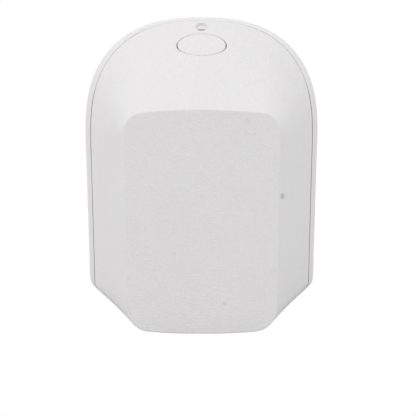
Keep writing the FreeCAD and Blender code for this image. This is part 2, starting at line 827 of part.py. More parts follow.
# Small chip resistors and capacitors in rows
small_part_upper_z = switch_top_z - switch_height / 2
small_parts = []
for i in range(small_parts_per_row):
    for side in (-1, 1):
        x = side * (small_part_side_x + small_part_pitch * i)
        small_parts.append(
            on_board(x, small_part_upper_z, small_part_width, small_part_length, small_part_height)
        )
        small_parts.append(
            on_board(x, small_part_lower_z, small_part_width, small_part_length, small_part_height)
        )
save("small_board_parts", Part.makeCompound(small_parts))
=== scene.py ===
import math

import bmesh
import bpy
from mathutils import Matrix, Vector


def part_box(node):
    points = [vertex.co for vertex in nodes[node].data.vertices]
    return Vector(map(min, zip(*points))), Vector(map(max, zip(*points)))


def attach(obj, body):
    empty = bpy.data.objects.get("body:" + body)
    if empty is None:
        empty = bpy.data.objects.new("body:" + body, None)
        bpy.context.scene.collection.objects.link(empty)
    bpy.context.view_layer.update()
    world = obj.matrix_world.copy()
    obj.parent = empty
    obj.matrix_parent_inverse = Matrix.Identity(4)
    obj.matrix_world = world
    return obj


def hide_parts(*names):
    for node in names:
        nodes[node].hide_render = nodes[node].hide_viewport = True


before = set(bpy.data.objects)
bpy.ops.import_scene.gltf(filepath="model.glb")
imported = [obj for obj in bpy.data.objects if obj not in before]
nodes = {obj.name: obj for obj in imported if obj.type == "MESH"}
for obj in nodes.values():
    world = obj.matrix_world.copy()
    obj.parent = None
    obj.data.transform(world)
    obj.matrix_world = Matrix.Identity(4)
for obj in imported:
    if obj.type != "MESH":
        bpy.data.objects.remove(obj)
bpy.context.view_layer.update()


# Rear housing
# The shallow rear shell that is screwed to the wall. It is moulded in matt white ABS in a spark-eroded tool,
# which leaves an even, very fine grain, and it carries the circuit board on four bosses.
def start_group(name, **inputs):
    """An empty shader group with named inputs and the three outputs that each finish has, and its two end nodes."""
    group = bpy.data.node_groups.new(name, "ShaderNodeTree")
    kind_of = {1: "NodeSocketFloat", 3: "NodeSocketVector", 4: "NodeSocketColor"}
    for label, value in inputs.items():
        kind = kind_of[len(value) if isinstance(value, tuple) else 1]
        socket = group.interface.new_socket(label.replace("_", " "), in_out="INPUT", socket_type=kind)
        socket.default_value = value
    for label, numbers in (("Colour", 4), ("Roughness", 1), ("Normal", 3)):
        group.interface.new_socket(label, in_out="OUTPUT", socket_type=kind_of[numbers])
    return group, group.nodes.new("NodeGroupInput"), group.nodes.new("NodeGroupOutput")


def add(tree, kind, **settings):
    """A shader node, with its properties and its unlinked inputs set by name."""
    node = tree.nodes.new("ShaderNode" + kind)
    for label, value in settings.items():
        if hasattr(node, label):
            setattr(node, label, value)
        else:
            node.inputs[label.replace("_", " ")].default_value = value
    return node


def maths(tree, operation, first, second, third=None):
    """A sum on numbers or on other nodes' outputs, and its result."""
    node = add(tree, "Math", operation=operation)
    for socket, value in zip(node.inputs, (first, second, third)):
        if isinstance(value, bpy.types.NodeSocket):
            tree.links.new(value, socket)
        elif value is not None:
            socket.default_value = value
    return node.outputs[0]


def moulded_skin_group():
    """Fine spark-eroded grain with a faint mottle and cloudiness in tone, as an injection moulding shows."""
    group, given, made = start_group(
        "moulded_skin",
        Colour=(0.8, 0.8, 0.8, 1.0),
        Mottle=0.03,
        Grain_per_mm=4.0,
        Grain_depth_mm=0.004,
        Roughness=0.5,
    )
    link = group.links.new
    place = add(group, "TexCoord").outputs["Object"]
    grain = add(group, "TexNoise", Detail=3.0, Roughness=0.6)
    link(place, grain.inputs["Vector"])
    link(maths(group, "MULTIPLY", given.outputs["Grain per mm"], 1000.0), grain.inputs["Scale"])
    mottle = add(group, "TexNoise", Scale=900.0, Detail=2.0, Roughness=0.55)
    cloud = add(group, "TexNoise", Scale=95.0, Detail=4.0, Roughness=0.55)
    link(place, mottle.inputs["Vector"])
    link(place, cloud.inputs["Vector"])
    drift = maths(group, "ADD", mottle.outputs["Fac"], cloud.outputs["Fac"])
    centred = maths(group, "SUBTRACT", drift, 1.0)
    factor = maths(group, "MULTIPLY_ADD", centred, given.outputs["Mottle"], 1.0)
    tint = add(group, "VectorMath", operation="SCALE")
    link(given.outputs["Colour"], tint.inputs[0])
    link(factor, tint.inputs["Scale"])
    link(tint.outputs[0], made.inputs["Colour"])
    link(maths(group, "MULTIPLY", given.outputs["Roughness"], factor), made.inputs["Roughness"])
    bump = add(group, "Bump", Strength=1.0)
    link(grain.outputs["Fac"], bump.inputs["Height"])
    link(maths(group, "MULTIPLY", given.outputs["Grain depth mm"], 0.001), bump.inputs["Distance"])
    link(bump.outputs["Normal"], made.inputs["Normal"])
    return group


MOULDED_SKIN = moulded_skin_group()


def new_material(name, **sockets):
    """A material with its Principled shader, whose plain values are set on its own sockets."""
    material = bpy.data.materials.new(name)
    material.use_nodes = True
    shader = material.node_tree.nodes["Principled BSDF"]
    for label, value in sockets.items():
        shader.inputs[label.replace("_", " ")].default_value = value
    return material, material.node_tree, shader


TO_SHADER = {"Colour": "Base Color", "Roughness": "Roughness", "Normal": "Normal"}


def place_group(tree, group, shader, **values):
    """Puts a shared group into a material, with its own values, and joins it to the shader."""
    node = tree.nodes.new("ShaderNodeGroup")
    node.node_tree = group
    for label, value in values.items():
        node.inputs[label.replace("_", " ")].default_value = value
    for source, target in TO_SHADER.items():
        tree.links.new(node.outputs[source], shader.inputs[target])
    return node


def moulded_plastic(name, colour, roughness, mottle=0.03, grain_per_mm=4.0, grain_depth_mm=0.004, **sockets):
    """An opaque injection-moulded plastic."""
    material, tree, shader = new_material(name, **sockets)
    place_group(
        tree,
        MOULDED_SKIN,
        shader,
        Colour=(*colour, 1.0),
        Mottle=mottle,
        Grain_per_mm=grain_per_mm,
        Grain_depth_mm=grain_depth_mm,
        Roughness=roughness,
    )
    return material


def dress(material, *names):
    """Gives carried-over CAD nodes their material."""
    for name in names:
        nodes[name].data.materials.clear()
        nodes[name].data.materials.append(material)


def place_in_piece(tree):
    """A node that gives the place on a piece as three numbers."""
    place = add(tree, "SeparateXYZ")
    tree.links.new(add(tree, "TexCoord").outputs["Object"], place.inputs[0])
    return place


def tint_joint_dust_and_shade(material, colour, y0, y1, steps):
    """Tints a shell between two depths with brown dust and painted shade in the joint line. It grows in steps out from
    the crown.
    """
    tree = material.node_tree
    base = tree.nodes["Principled BSDF"].inputs["Base Color"]
    place = place_in_piece(tree)
    beside = maths(tree, "ABSOLUTE", place.outputs["X"], None)
    amount = maths(tree, "COMPARE", place.outputs["Y"], (y0 + y1) / 2.0, (y1 - y0) / 2.0)
    grown = 0.0
    for from_x, to_x, share in steps:
        step = add(tree, "MapRange", interpolation_type="SMOOTHSTEP", From_Min=from_x, From_Max=to_x)
        tree.links.new(beside, step.inputs["Value"])
        grown = maths(tree, "MULTIPLY_ADD", step.outputs["Result"], share, grown)
    tint = add(tree, "Mix", data_type="RGBA")
    tree.links.new(base.links[0].from_socket, tint.inputs[6])
    tint.inputs[7].default_value = (*colour, 1.0)
    tree.links.new(maths(tree, "MULTIPLY", amount, grown), tint.inputs["Factor"])
    tree.links.new(tint.outputs[2], base)


mm = 0.001
shell_white = (0.84, 0.825, 0.838)
shell_roughness = 0.5
shell_mottle = 0.04
shell_grain_per_mm = 2.6
shell_grain_depth_mm = 0.25
shell_skin = (shell_roughness, shell_mottle, shell_grain_per_mm, shell_grain_depth_mm)
rear_plastic = moulded_plastic("rear_shell", shell_white, *shell_skin)
# The joint line's brown tint is partly dust and partly painted shade from the gap between the shells. It is strongest
# on the sides.
dust_and_shade_brown = (0.27, 0.1, 0.085)
joint_tint_front_y = 17.9 * mm
joint_tint_back_y = 18.85 * mm
joint_tint_steps = [(8.0 * mm, 16.0 * mm, 0.15), (27.0 * mm, 28.6 * mm, 0.85)]
tint_joint_dust_and_shade(rear_plastic, dust_and_shade_brown, joint_tint_front_y, joint_tint_back_y, joint_tint_steps)
dress(rear_plastic, "rear_housing")


# Circuit board
# Glass-fibre laminate 1.6 mm thick under green solder resist, with the bare weave showing along its cut edges.
# Four screws hold it on the bosses of the rear housing.
def laminate_group():
    """Solder resist over a woven laminate: a faint weave in the face and bare laminate on the cut edges."""
    group, given, made = start_group(
        "laminate",
        Resist=(0.01, 0.08, 0.03, 1.0),
        Edge=(0.4, 0.38, 0.2, 1.0),
        Threads_per_mm=1.6,
        Roughness=0.3,
    )
    link = group.links.new
    place = add(group, "TexCoord").outputs["Object"]
    wave_scale = maths(group, "MULTIPLY", given.outputs["Threads per mm"], 1000.0 * math.pi / 10.0)
    threads = []
    for direction in ("X", "Z"):
        wave = add(group, "TexWave", bands_direction=direction, Distortion=0.6, Detail=1.0)
        link(place, wave.inputs["Vector"])
        link(wave_scale, wave.inputs["Scale"])
        threads.append(wave.outputs["Fac"])
    weave = maths(group, "MULTIPLY", *threads)
    face = add(group, "SeparateXYZ")
    link(add(group, "NewGeometry").outputs["Normal"], face.inputs[0])
    on_edge = maths(group, "LESS_THAN", maths(group, "ABSOLUTE", face.outputs["Y"], 0.0), 0.6)
    shade = add(group, "VectorMath", operation="SCALE")
    link(given.outputs["Resist"], shade.inputs[0])
    link(maths(group, "MULTIPLY_ADD", weave, 0.35, 0.85), shade.inputs["Scale"])
    colour = add(group, "Mix", data_type="RGBA")
    link(on_edge, colour.inputs["Factor"])
    link(shade.outputs[0], colour.inputs[6])
    link(given.outputs["Edge"], colour.inputs[7])
    link(colour.outputs[2], made.inputs["Colour"])
    link(maths(group, "MULTIPLY_ADD", on_edge, 0.4, given.outputs["Roughness"]), made.inputs["Roughness"])
    bump = add(group, "Bump", Strength=1.0, Distance=0.000006)
    link(weave, bump.inputs["Height"])
    link(bump.outputs["Normal"], made.inputs["Normal"])
    return group


LAMINATE = laminate_group()


def laminate(name, resist, edge, threads_per_mm):
    """A printed circuit board's laminate, resist side and cut edges."""
    material, tree, shader = new_material(name, Coat_Weight=0.35, Coat_Roughness=0.12)
    place_group(
        tree, LAMINATE, shader, Resist=(*resist, 1.0), Edge=(*edge, 1.0), Threads_per_mm=threads_per_mm, Roughness=0.38
    )
    return material


dress(laminate("board_laminate", (0.008, 0.08, 0.032), (0.36, 0.36, 0.2), 1.6), "circuit_board")


# Printed layers of the board
# Copper tracks under the resist, tinned pads where parts are soldered, and the outlines that an ink jet prints round
# the parts. They are a few hundredths of a millimetre thick.
def metal_skin_group():
    """Drawing, rolling or brushing marks in a metal, stretched along one direction, and a slightly cloudy gloss."""
    group, given, made = start_group(
        "metal_skin",
        Colour=(0.7, 0.7, 0.7, 1.0),
        Marks_per_mm=(6.0, 6.0, 6.0),
        Marks_depth_mm=0.001,
        Roughness=0.3,
    )
    link = group.links.new
    place = add(group, "TexCoord").outputs["Object"]
    stretched = add(group, "VectorMath", operation="MULTIPLY")
    link(place, stretched.inputs[0])
    link(given.outputs["Marks per mm"], stretched.inputs[1])
    marks = add(group, "TexNoise", Scale=1000.0, Detail=3.0, Roughness=0.6)
    link(stretched.outputs[0], marks.inputs["Vector"])
    cloud = add(group, "TexNoise", Scale=700.0, Detail=2.0)
    link(place, cloud.inputs["Vector"])
    tint = add(group, "VectorMath", operation="SCALE")
    link(given.outputs["Colour"], tint.inputs[0])
    link(maths(group, "MULTIPLY_ADD", cloud.outputs["Fac"], 0.16, 0.92), tint.inputs["Scale"])
    link(tint.outputs[0], made.inputs["Colour"])
    uneven = maths(group, "MULTIPLY_ADD", marks.outputs["Fac"], 0.5, 0.75)
    link(maths(group, "MULTIPLY", given.outputs["Roughness"], uneven), made.inputs["Roughness"])
    bump = add(group, "Bump", Strength=1.0)
    link(marks.outputs["Fac"], bump.inputs["Height"])
    link(maths(group, "MULTIPLY", given.outputs["Marks depth mm"], 0.001), bump.inputs["Distance"])
    link(bump.outputs["Normal"], made.inputs["Normal"])
    return group


METAL_SKIN = metal_skin_group()


def metal(name, colour, roughness, marks_per_mm=(6.0, 6.0, 6.0), marks_depth_mm=0.001, **sockets):
    """A plated or bare metal."""
    material, tree, shader = new_material(name, Metallic=1.0, **sockets)
    place_group(
        tree,
        METAL_SKIN,
        shader,
        Colour=(*colour, 1.0),
        Marks_per_mm=marks_per_mm,
        Marks_depth_mm=marks_depth_mm,
        Roughness=roughness,
    )
    return material


sharp_angle = math.radians(38.0)


def make_piece(name, bm, material, body, slot, *replaced):
    """A piece from mesh code, with rounded shading, its material and the body that it rides on. Its slot argument is
    not used.
    """
    bmesh.ops.recalc_face_normals(bm, faces=bm.faces)
    mesh = bpy.data.meshes.new(name)
    bm.to_mesh(mesh)
    bm.free()
    mesh.materials.append(material)
    mesh.shade_smooth()
    mesh.set_sharp_from_angle(angle=sharp_angle)
    piece = bpy.data.objects.new(name, mesh)
    bpy.context.scene.collection.objects.link(piece)
    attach(piece, body)
    if replaced:
        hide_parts(*replaced)
    return piece


def add_block(bm, low, high, bevel=0.0, segments=2):
    """A block between two corners, with its edges rounded by bevel."""
    low, high = Vector(low), Vector(high)
    placed = Matrix.LocRotScale((low + high) / 2.0, None, high - low)
    corners = bmesh.ops.create_cube(bm, size=1.0, matrix=placed)["verts"]
    if bevel:
        edges = list({edge for corner in corners for edge in corner.link_edges})
        bmesh.ops.bevel(bm, geom=edges, offset=bevel, segments=segments, profile=0.5, affect="EDGES")


def add_turned(bm, profile, start, along, steps=48, closed=False):
    """A turned form. Each step of its profile is a radius and a distance from the start along the axis."""
    along = Vector(along).normalized()
    side = along.orthogonal().normalized()
    up = along.cross(side)
    rings = []
    for radius, reach in profile:
        middle = Vector(start) + along * reach
        spokes = steps if radius else 1
        turns = [2.0 * math.pi * i / spokes for i in range(spokes)]
        rings.append([bm.verts.new(middle + (side * math.cos(t) + up * math.sin(t)) * radius) for t in turns])
    pairs = list(zip(rings, rings[1:]))
    if closed:
        pairs.append((rings[-1], rings[0]))
    for first, second in pairs:
        for i in range(steps):
            j = (i + 1) % steps
            corners = [first[i % len(first)], first[j % len(first)], second[j % len(second)], second[i % len(second)]]
            bm.faces.new(list(dict.fromkeys(corners)))


def in_metres(profile):
    """A profile whose radii and distances are given in millimetres."""
    return [(radius * mm, reach * mm) for radius, reach in profile]


def add_strip(bm, path, across, thickness, closed=False):
    """A strip that is bent along a path. across is its breadth as a vector, and the path runs in its middle."""
    path = [Vector(point) for point in path]
    across = Vector(across)
    count = len(path)
    sections = []
    for i, point in enumerate(path):
        before = point - path[i - 1] if i or closed else path[1] - point
        after = path[(i + 1) % count] - point if i < count - 1 or closed else before
        tangent = (before.normalized() + after.normalized()).normalized()
        normal = tangent.cross(across).normalized()
        mitre = max(normal.dot(before.cross(across).normalized()), 0.4)
        offset = normal * (thickness / 2.0 / mitre)
        corners = (-offset - across / 2.0, offset - across / 2.0, offset + across / 2.0, across / 2.0 - offset)
        sections.append([bm.verts.new(point + corner) for corner in corners])
    pairs = list(zip(sections, sections[1:]))
    if closed:
        pairs.append((sections[-1], sections[0]))
    else:
        bm.faces.new(sections[0][::-1])
        bm.faces.new(sections[-1])
    for first, second in pairs:
        for i in range(4):
            j = (i + 1) % 4
            bm.faces.new((first[i], first[j], second[j], second[i]))


def solid_boxes(name):
    """The lowest and highest corner of each separate solid in a CAD node."""
    bm = bmesh.new()
    bm.from_mesh(nodes[name].data)
    bmesh.ops.remove_doubles(bm, verts=bm.verts, dist=0.000001)
    unseen = set(bm.verts)
    boxes = []
    while unseen:
        island = [unseen.pop()]
        for vert in island:
            for edge in vert.link_edges:
                other = edge.other_vert(vert)
                if other in unseen:
                    unseen.remove(other)
                    island.append(other)
        low = Vector([min(vert.co[i] for vert in island) for i in range(3)])
        high = Vector([max(vert.co[i] for vert in island) for i in range(3)])
        boxes.append((low, high))
    bm.free()
    return sorted(boxes, key=lambda pair: (round(pair[0].x, 5), round(pair[0].z, 5)))


board_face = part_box("circuit_board")[0].y
track_proud = 0.03 * mm
pad_proud = 0.04 * mm
ink_proud = 0.035 * mm
signal_width = 0.24
signal_pitch = 0.45


def on_face(x, z, lift=0.0):
    """A place on the front of the board, in millimetres across and up."""
    return Vector((x * mm, board_face - lift, z * mm))


def add_track(bm, points, width=signal_width, proud=track_proud, closed=False):
    """A flat line on the board through points in millimetres. Its width is in millimetres too."""
    path = [on_face(x, z, proud / 2.0) for x, z in points]
    add_strip(bm, path, (0.0, proud, 0.0), width * mm, closed)


tracks = bmesh.new()
for i in range(3):
    step = signal_pitch * i
    add_track(
        tracks,
        [
            (-8.4, 35.2 + 0.9 * i),
            (-7.7 + step, 35.2 + 0.9 * i),
            (-7.3 + step, 34.8 + 0.9 * i),
            (-7.3 + step, 30.6 + step / 2.0),
            (-6.6 + step, 29.75 + step),
            (5.3 - step, 29.75 + step),
            (5.9 - step, 30.4 + step),
            (5.9 - step, 34.8 + 0.75 * i),
            (6.4 - step / 2.0, 35.38 + 0.75 * i),
            (7.4, 35.38 + 0.75 * i),
        ],
    )
    add_track(
        tracks,
        [
            (7.4, 39.13 + 0.75 * i),
            (5.8 + step, 39.13 + 0.75 * i),
            (5.3 + step, 39.6 + 0.75 * i),
            (5.3 + step, 41.4 + step),
            (4.8 + step / 2.0, 41.9 + step),
            (-5.6 + step, 41.9 + step),
            (-6.3 + step, 42.6 + step),
            (-6.3 + step, 46.4 - step),
        ],
    )
for side in (-1.0, 1.0):
    add_track(tracks, [(side * 16.6, 24.5), (side * 16.6, 32.9)], 0.9)
    add_track(tracks, [(side * 3.5, 54.6), (side * 3.5, 54.2), (side * 4.6, 53.1), (side * 4.6, 51.2)])
    side_line = [(side * 8.4, 28.9), (side * 8.4, 30.6), (side * 8.9, 31.1), (side * 8.9, 33.8)]
    add_track(tracks, side_line, 0.3)
add_track(tracks, [(16.6, 32.9), (17.4, 33.7), (17.4, 44.6), (16.2, 45.6)], 0.7)
add_track(tracks, [(-2.2, 49.0), (-2.2, 46.6), (-3.0, 45.8), (-7.6, 45.8)])
add_track(tracks, [(2.2, 49.0), (2.2, 46.4), (3.2, 45.4), (8.7, 45.4), (9.6, 44.5)])
aerial_line = [(21.0, 37.5), (19.7, 37.5), (19.0, 38.2), (19.0, 52.2), (17.0, 54.2), (9.6, 54.2), (8.0, 55.8)]
aerial_line += [(-6.0, 55.8), (-9.1, 52.7), (-9.1, 45.2), (-9.7, 44.2)]
add_track(tracks, aerial_line, 0.36)
copper_under_resist = laminate("copper_under_resist", (0.02, 0.15, 0.062), (0.02, 0.15, 0.062), 1.6)
make_piece("board_tracks", tracks, copper_under_resist, "housing", "board_laminate")


def add_pad(bm, low, high, margin):
    """A tinned pad under a part's foot, a little larger than the foot."""
    add_block(
        bm,
        (low.x - margin * mm, board_face - pad_proud, low.z - margin * mm),
        (high.x + margin * mm, board_face, high.z + margin * mm),
    )


def add_via(bm, x, z):
    """A plated hole, as a small tinned ring."""
    profile = [(0.16, 0.0), (0.16, 0.03), (0.24, 0.05), (0.36, 0.045), (0.4, 0.0)]
    add_turned(bm, in_metres(profile), on_face(x, z), (0.0, -1.0, 0.0), 16, True)


pads = bmesh.new()
for low, high in solid_boxes("chip_pins") + solid_boxes("small_board_parts"):
    add_pad(pads, low, high, 0.12)
for name, margin in (("timing_crystal", 0.15), ("capacitor_foot", 0.1)):
    add_pad(pads, *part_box(name), margin)
for x, z in ((21.2, 34.1), (21.2, 37.5), (-3.9, 50.0), (3.9, 50.0), (-3.9, 52.0), (3.9, 52.0)):
    add_pad(pads, on_face(x, z), on_face(x, z), 0.7)
for side in (-1.0, 1.0):
    add_pad(pads, on_face(side * 20.7, 12.6), on_face(side * 20.7, 17.8), 0.8)
    for x, z in ((3.5, 54.6), (6.3, 46.4), (8.4, 26.6), (21.0, 20.5), (21.0, 24.2), (19.6, 50.5), (12.0, 57.6)):
        add_via(pads, side * x, z)
    for i in range(4):
        add_via(pads, side * (2.6 + 3.2 * i), 64.2 - 0.62 * i * i)
test_pad = [(0.0, 0.04), (0.6, 0.04), (0.62, 0.0)]
test_pad_pitch = 1.8
for i in range(4):
    add_turned(pads, in_metres(test_pad), on_face(-5.4 + test_pad_pitch * i, 59.8), (0.0, -1.0, 0.0), 24)
tinned = metal("tinned_copper", (0.72, 0.71, 0.66), 0.32, (3.0, 3.0, 3.0), 0.004)
make_piece("board_pads", pads, tinned, "housing", "lead_metal")

ink = bmesh.new()
ink_width = 0.16


def add_outline(name, margin):
    """A printed rectangle round a part."""
    low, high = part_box(name)
    x0, x1 = low.x / mm - margin, high.x / mm + margin
    z0, z1 = low.z / mm - margin, high.z / mm + margin
    add_track(ink, [(x0, z0), (x1, z0), (x1, z1), (x0, z1)], ink_width, ink_proud, True)


def add_ink_ring(x, z, radius):
    """A printed circle round a part."""
    points = []
    for i in range(48):
        turn = 2.0 * math.pi * i / 48
        points.append((x + radius * math.cos(turn), z + radius * math.sin(turn)))
    add_track(ink, points, ink_width, ink_proud, True)


for name, margin in (("radio_board", 0.4), ("timing_crystal", 0.45), ("capacitor_foot", 0.35), ("battery_cradle", 0.5)):
    add_outline(name, margin)
for low, high in solid_boxes("small_board_parts"):
    x0, x1, z0, z1 = low.x / mm - 0.35, high.x / mm + 0.35, low.z / mm - 0.35, high.z / mm + 0.35
    for z, turn_in in ((z0, 0.5), (z1, -0.5)):
        add_track(ink, [(x0, z + turn_in), (x0, z), (x1, z), (x1, z + turn_in)], 0.12, ink_proud)
add_ink_ring(0.0, 36.0, 5.3)
add_ink_ring(5.9, 33.2, 0.3)
for x, z in ((-13.0, 49.0), (13.0, 49.0)):
    add_ink_ring(x, z, 4.0)
sign_x, sign_z, sign_arm, sign_width = 21.3, 25.4, 0.8, 0.3
for side in (1.0, -1.0):
    x = side * sign_x
    add_track(ink, [(x - sign_arm, sign_z), (x + sign_arm, sign_z)], sign_width, ink_proud)
add_track(ink, [(sign_x, sign_z - sign_arm), (sign_x, sign_z + sign_arm)], sign_width, ink_proud)
white_ink = moulded_plastic("legend_ink", (0.74, 0.74, 0.7), 0.6, 0.12, 8.0, 0.006)
make_piece("board_outlines", ink, white_ink, "housing", "board_laminate")


# Board screws
# Four small thread-forming screws of zinc-plated steel with round heads and a cross recess.
zinc = metal("screw_zinc", (0.6, 0.61, 0.63), 0.34, (5.0, 5.0, 5.0), 0.003)
dress(zinc, "board_screws")


# Infrared sensor
# A drawn, nickel-plated can with a dark filter plate glued behind its window, on three gold-plated leads. A black
# spacer holds it off the board, and the leads are soldered on the board's back.
dress(metal("sensor_nickel", (0.66, 0.64, 0.59), 0.27, (9.0, 1.2, 9.0), 0.002), "sensor_can", "sensor_base")
filter_violet = (0.018, 0.013, 0.026)
filter_plate = moulded_plastic(
    "sensor_filter", filter_violet, 0.14, 0.3, 1.5, 0.0008, Coat_Weight=0.6, Coat_Roughness=0.04
)
dress(filter_plate, "sensor_window")
dress(metal("lead_gold", (0.85, 0.64, 0.32), 0.24, (9.0, 1.0, 9.0), 0.001), "sensor_leads")
black_plastic = moulded_plastic("black_plastic", (0.017, 0.017, 0.018), 0.52, 0.25, 5.0, 0.006)
dress(black_plastic, "sensor_spacer", "battery_cradle")

solder = metal("solder", (0.7, 0.7, 0.69), 0.2, (2.0, 2.0, 2.0), 0.004)
joints = bmesh.new()
board_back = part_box("circuit_board")[1].y
for low, high in solid_boxes("sensor_leads"):
    middle = (low + high) / 2.0
    profile = [(0.95, 0.0), (0.8, 0.12), (0.5, 0.35), (0.32, 0.7), (0.24, 1.05), (0.0, 1.22)]
    foot = Vector((middle.x, board_back, middle.z))
    add_turned(joints, in_metres(profile), foot, (0.0, 1.0, 0.0), 24)
make_piece("sensor_solder", joints, solder, "housing", "lead_metal")


# Battery contacts
# Nickel-plated spring strip against each end wall of the cradle, with a round dimple that presses on the cell. Each
# strip goes on over the end wall and down its outside to a pad on the board.
spring_metal = metal("spring_strip", (0.72, 0.69, 0.62), 0.26, (1.0, 7.0, 7.0), 0.002)
dress(spring_metal, "battery_contact_positive", "battery_contact_negative")
dimples = bmesh.new()
straps = bmesh.new()
strap_breadth = 3.4 * mm
strap_thickness = 0.3 * mm
cradle_low, cradle_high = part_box("battery_cradle")
for name, side in (("battery_contact_positive", 1.0), ("battery_contact_negative", -1.0)):
    low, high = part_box(name)
    inner_x = low.x if side > 0 else high.x
    middle = (low + high) / 2.0
    profile = [(1.5, 0.0), (1.25, 0.06), (0.8, 0.2), (0.4, 0.26), (0.0, 0.28)]
    seat = Vector((inner_x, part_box("battery_cell")[1].y - 8.5 * mm, middle.z))
    add_turned(dimples, in_metres(profile), seat, (-side, 0.0, 0.0), 32)
    over_y = low.y - strap_thickness / 2.0
    outside_x = side * (cradle_high.x + strap_thickness / 2.0)
    foot_y = board_face - pad_proud - strap_thickness / 2.0
    path = [
        (middle.x, over_y + strap_thickness, middle.z),
        (middle.x, over_y, middle.z),
        (outside_x - side * 0.25 * mm, over_y, middle.z),
        (outside_x, over_y + 0.25 * mm, middle.z),
        (outside_x, foot_y - 0.3 * mm, middle.z),
        (outside_x + side * 0.3 * mm, foot_y, middle.z),
        (outside_x + side * 2.0 * mm, foot_y, middle.z),
    ]
    add_strip(straps, path, (0.0, 0.0, strap_breadth), strap_thickness)
make_piece("contact_dimples", dimples, spring_metal, "housing", "contact_metal")
make_piece("contact_straps", straps, spring_metal, "housing", "contact_metal")


# Battery cell
# A cylindrical photo cell: a drawn steel can in a plain plastic sleeve that is shrunk over both its shoulders, with
# a fibre ring round the raised positive end.
def sleeve_material():
    """Glossy slate-blue sleeve with a pale band at its positive end."""
    material, tree, shader = new_material("cell_sleeve", Coat_Weight=0.3, Coat_Roughness=0.1)
    skin = place_group(
        tree, MOULDED_SKIN, shader, Mottle=0.1, Grain_per_mm=0.8, Grain_depth_mm=0.004, Roughness=0.24
    )
    along = place_in_piece(tree)
    band_start, band_end = 9.6 * mm, 14.2 * mm
    after_start = maths(tree, "GREATER_THAN", along.outputs["X"], band_start)
    before_end = maths(tree, "LESS_THAN", along.outputs["X"], band_end)
    colour = add(tree, "Mix", data_type="RGBA")
    colour.inputs[6].default_value = (0.022, 0.06, 0.12, 1.0)
    colour.inputs[7].default_value = (0.62, 0.63, 0.62, 1.0)
    tree.links.new(maths(tree, "MULTIPLY", after_start, before_end), colour.inputs["Factor"])
    tree.links.new(colour.outputs[2], skin.inputs["Colour"])
    return material


cell_low, cell_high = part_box("battery_cell")
cell_radius = (cell_high.z - cell_low.z) / 2.0
cell_middle = (cell_low + cell_high) / 2.0
cell_start = Vector((cell_low.x, cell_middle.y, cell_middle.z))
shoulder = cell_high.x - cell_low.x - 1.0 * mm


def turned_cell_part(name, steps, material, slot, closed=False):
    """A turned part of the cell, with steps of radius and distance from the negative end in millimetres."""
    bm = bmesh.new()
    add_turned(bm, in_metres(steps), cell_start, (1.0, 0.0, 0.0), 96, closed)
    make_piece(name, bm, material, "battery", slot, "battery_cell")


r, s = cell_radius / mm, shoulder / mm
sleeve_steps = [(r - 1.9, 0.12), (r - 1.8, 0.0), (r - 0.6, 0.0), (r - 0.17, 0.18), (r, 0.6), (r, s - 0.6)]
sleeve_steps += [(r - 0.17, s - 0.18), (r - 0.6, s), (r - 2.9, s), (r - 3.0, s - 0.12), (r - 0.7, s - 0.14)]
sleeve_steps += [(r - 0.14, s - 0.7), (r - 0.14, 0.7), (r - 0.7, 0.14)]
turned_cell_part("cell_sleeve", sleeve_steps, sleeve_material(), "cell_sleeve", True)
can_steps = [(0.0, 0.1), (r - 3.4, 0.1), (r - 3.1, 0.22), (r - 2.8, 0.2), (r - 0.8, 0.2), (r - 0.2, 0.8)]
can_steps += [(r - 0.2, s - 0.8), (r - 0.8, s - 0.2), (r - 4.1, s - 0.2), (r - 4.3, s - 0.3), (4.1, s - 0.3)]
can_steps += [(3.7, s - 0.2), (3.3, s + 0.1), (3.2, s + 0.8), (3.0, s + 1.0), (0.0, s + 1.0)]
can_metal = metal("cell_can", (0.7, 0.69, 0.66), 0.22, (8.0, 1.5, 1.5), 0.001)
turned_cell_part("cell_can", can_steps, can_metal, "cell_sleeve")
ring_steps = [(4.15, s - 0.25), (4.15, s - 0.08), (r - 3.05, s - 0.06), (r - 3.05, s - 0.25)]
fibre = moulded_plastic("cell_ring_fibre", (0.62, 0.58, 0.48), 0.8, 0.3, 3.0, 0.02)
turned_cell_part("cell_ring", ring_steps, fibre, "cell_sleeve", True)


# Push switch
# A side-mounted key switch under the test button: a black body, a stainless frame clipped over it with four rivet
# heads, and a plunger of natural acetal that stands up through the frame.
def add_holed_plate(bm, middle, half_across, half_up, through, hole_radius, steps=48):
    """A plate with a round hole. half_across and half_up are vectors in its face, through is its thickness."""
    half_across, half_up, through = Vector(half_across), Vector(half_up), Vector(through)
    loops = []
    for level in (Vector(), through):
        for outer in (False, True):
            loop = []
            for i in range(steps):
                turn = 2.0 * math.pi * i / steps
                across, up = math.cos(turn), math.sin(turn)
                if outer:
                    reach = max(abs(across), abs(up))
                    offset = half_across * (across / reach) + half_up * (up / reach)
                else:
                    offset = half_across.normalized() * (across * hole_radius)
                    offset += half_up.normalized() * (up * hole_radius)
                loop.append(bm.verts.new(Vector(middle) + offset + level))
            loops.append(loop)
    inner_low, outer_low, inner_high, outer_high = loops
    loops = [inner_low, outer_low, outer_high, inner_high, inner_low]
    for first, second in zip(loops, loops[1:]):
        for i in range(steps):
            j = (i + 1) % steps
            bm.faces.new((first[i], first[j], second[j], second[i]))


switch_plastic = moulded_plastic("switch_plastic", (0.02, 0.02, 0.021), 0.45, 0.2, 6.0, 0.004)
natural_acetal = moulded_plastic("natural_acetal", (0.78, 0.75, 0.66), 0.38, 0.05, 3.0, 0.003)
dress(switch_plastic, "tamper_switch")
dress(natural_acetal, "push_switch_plunger", "tamper_plunger")
stainless = metal("switch_stainless", (0.63, 0.62, 0.6), 0.3, (1.5, 9.0, 1.5), 0.002)

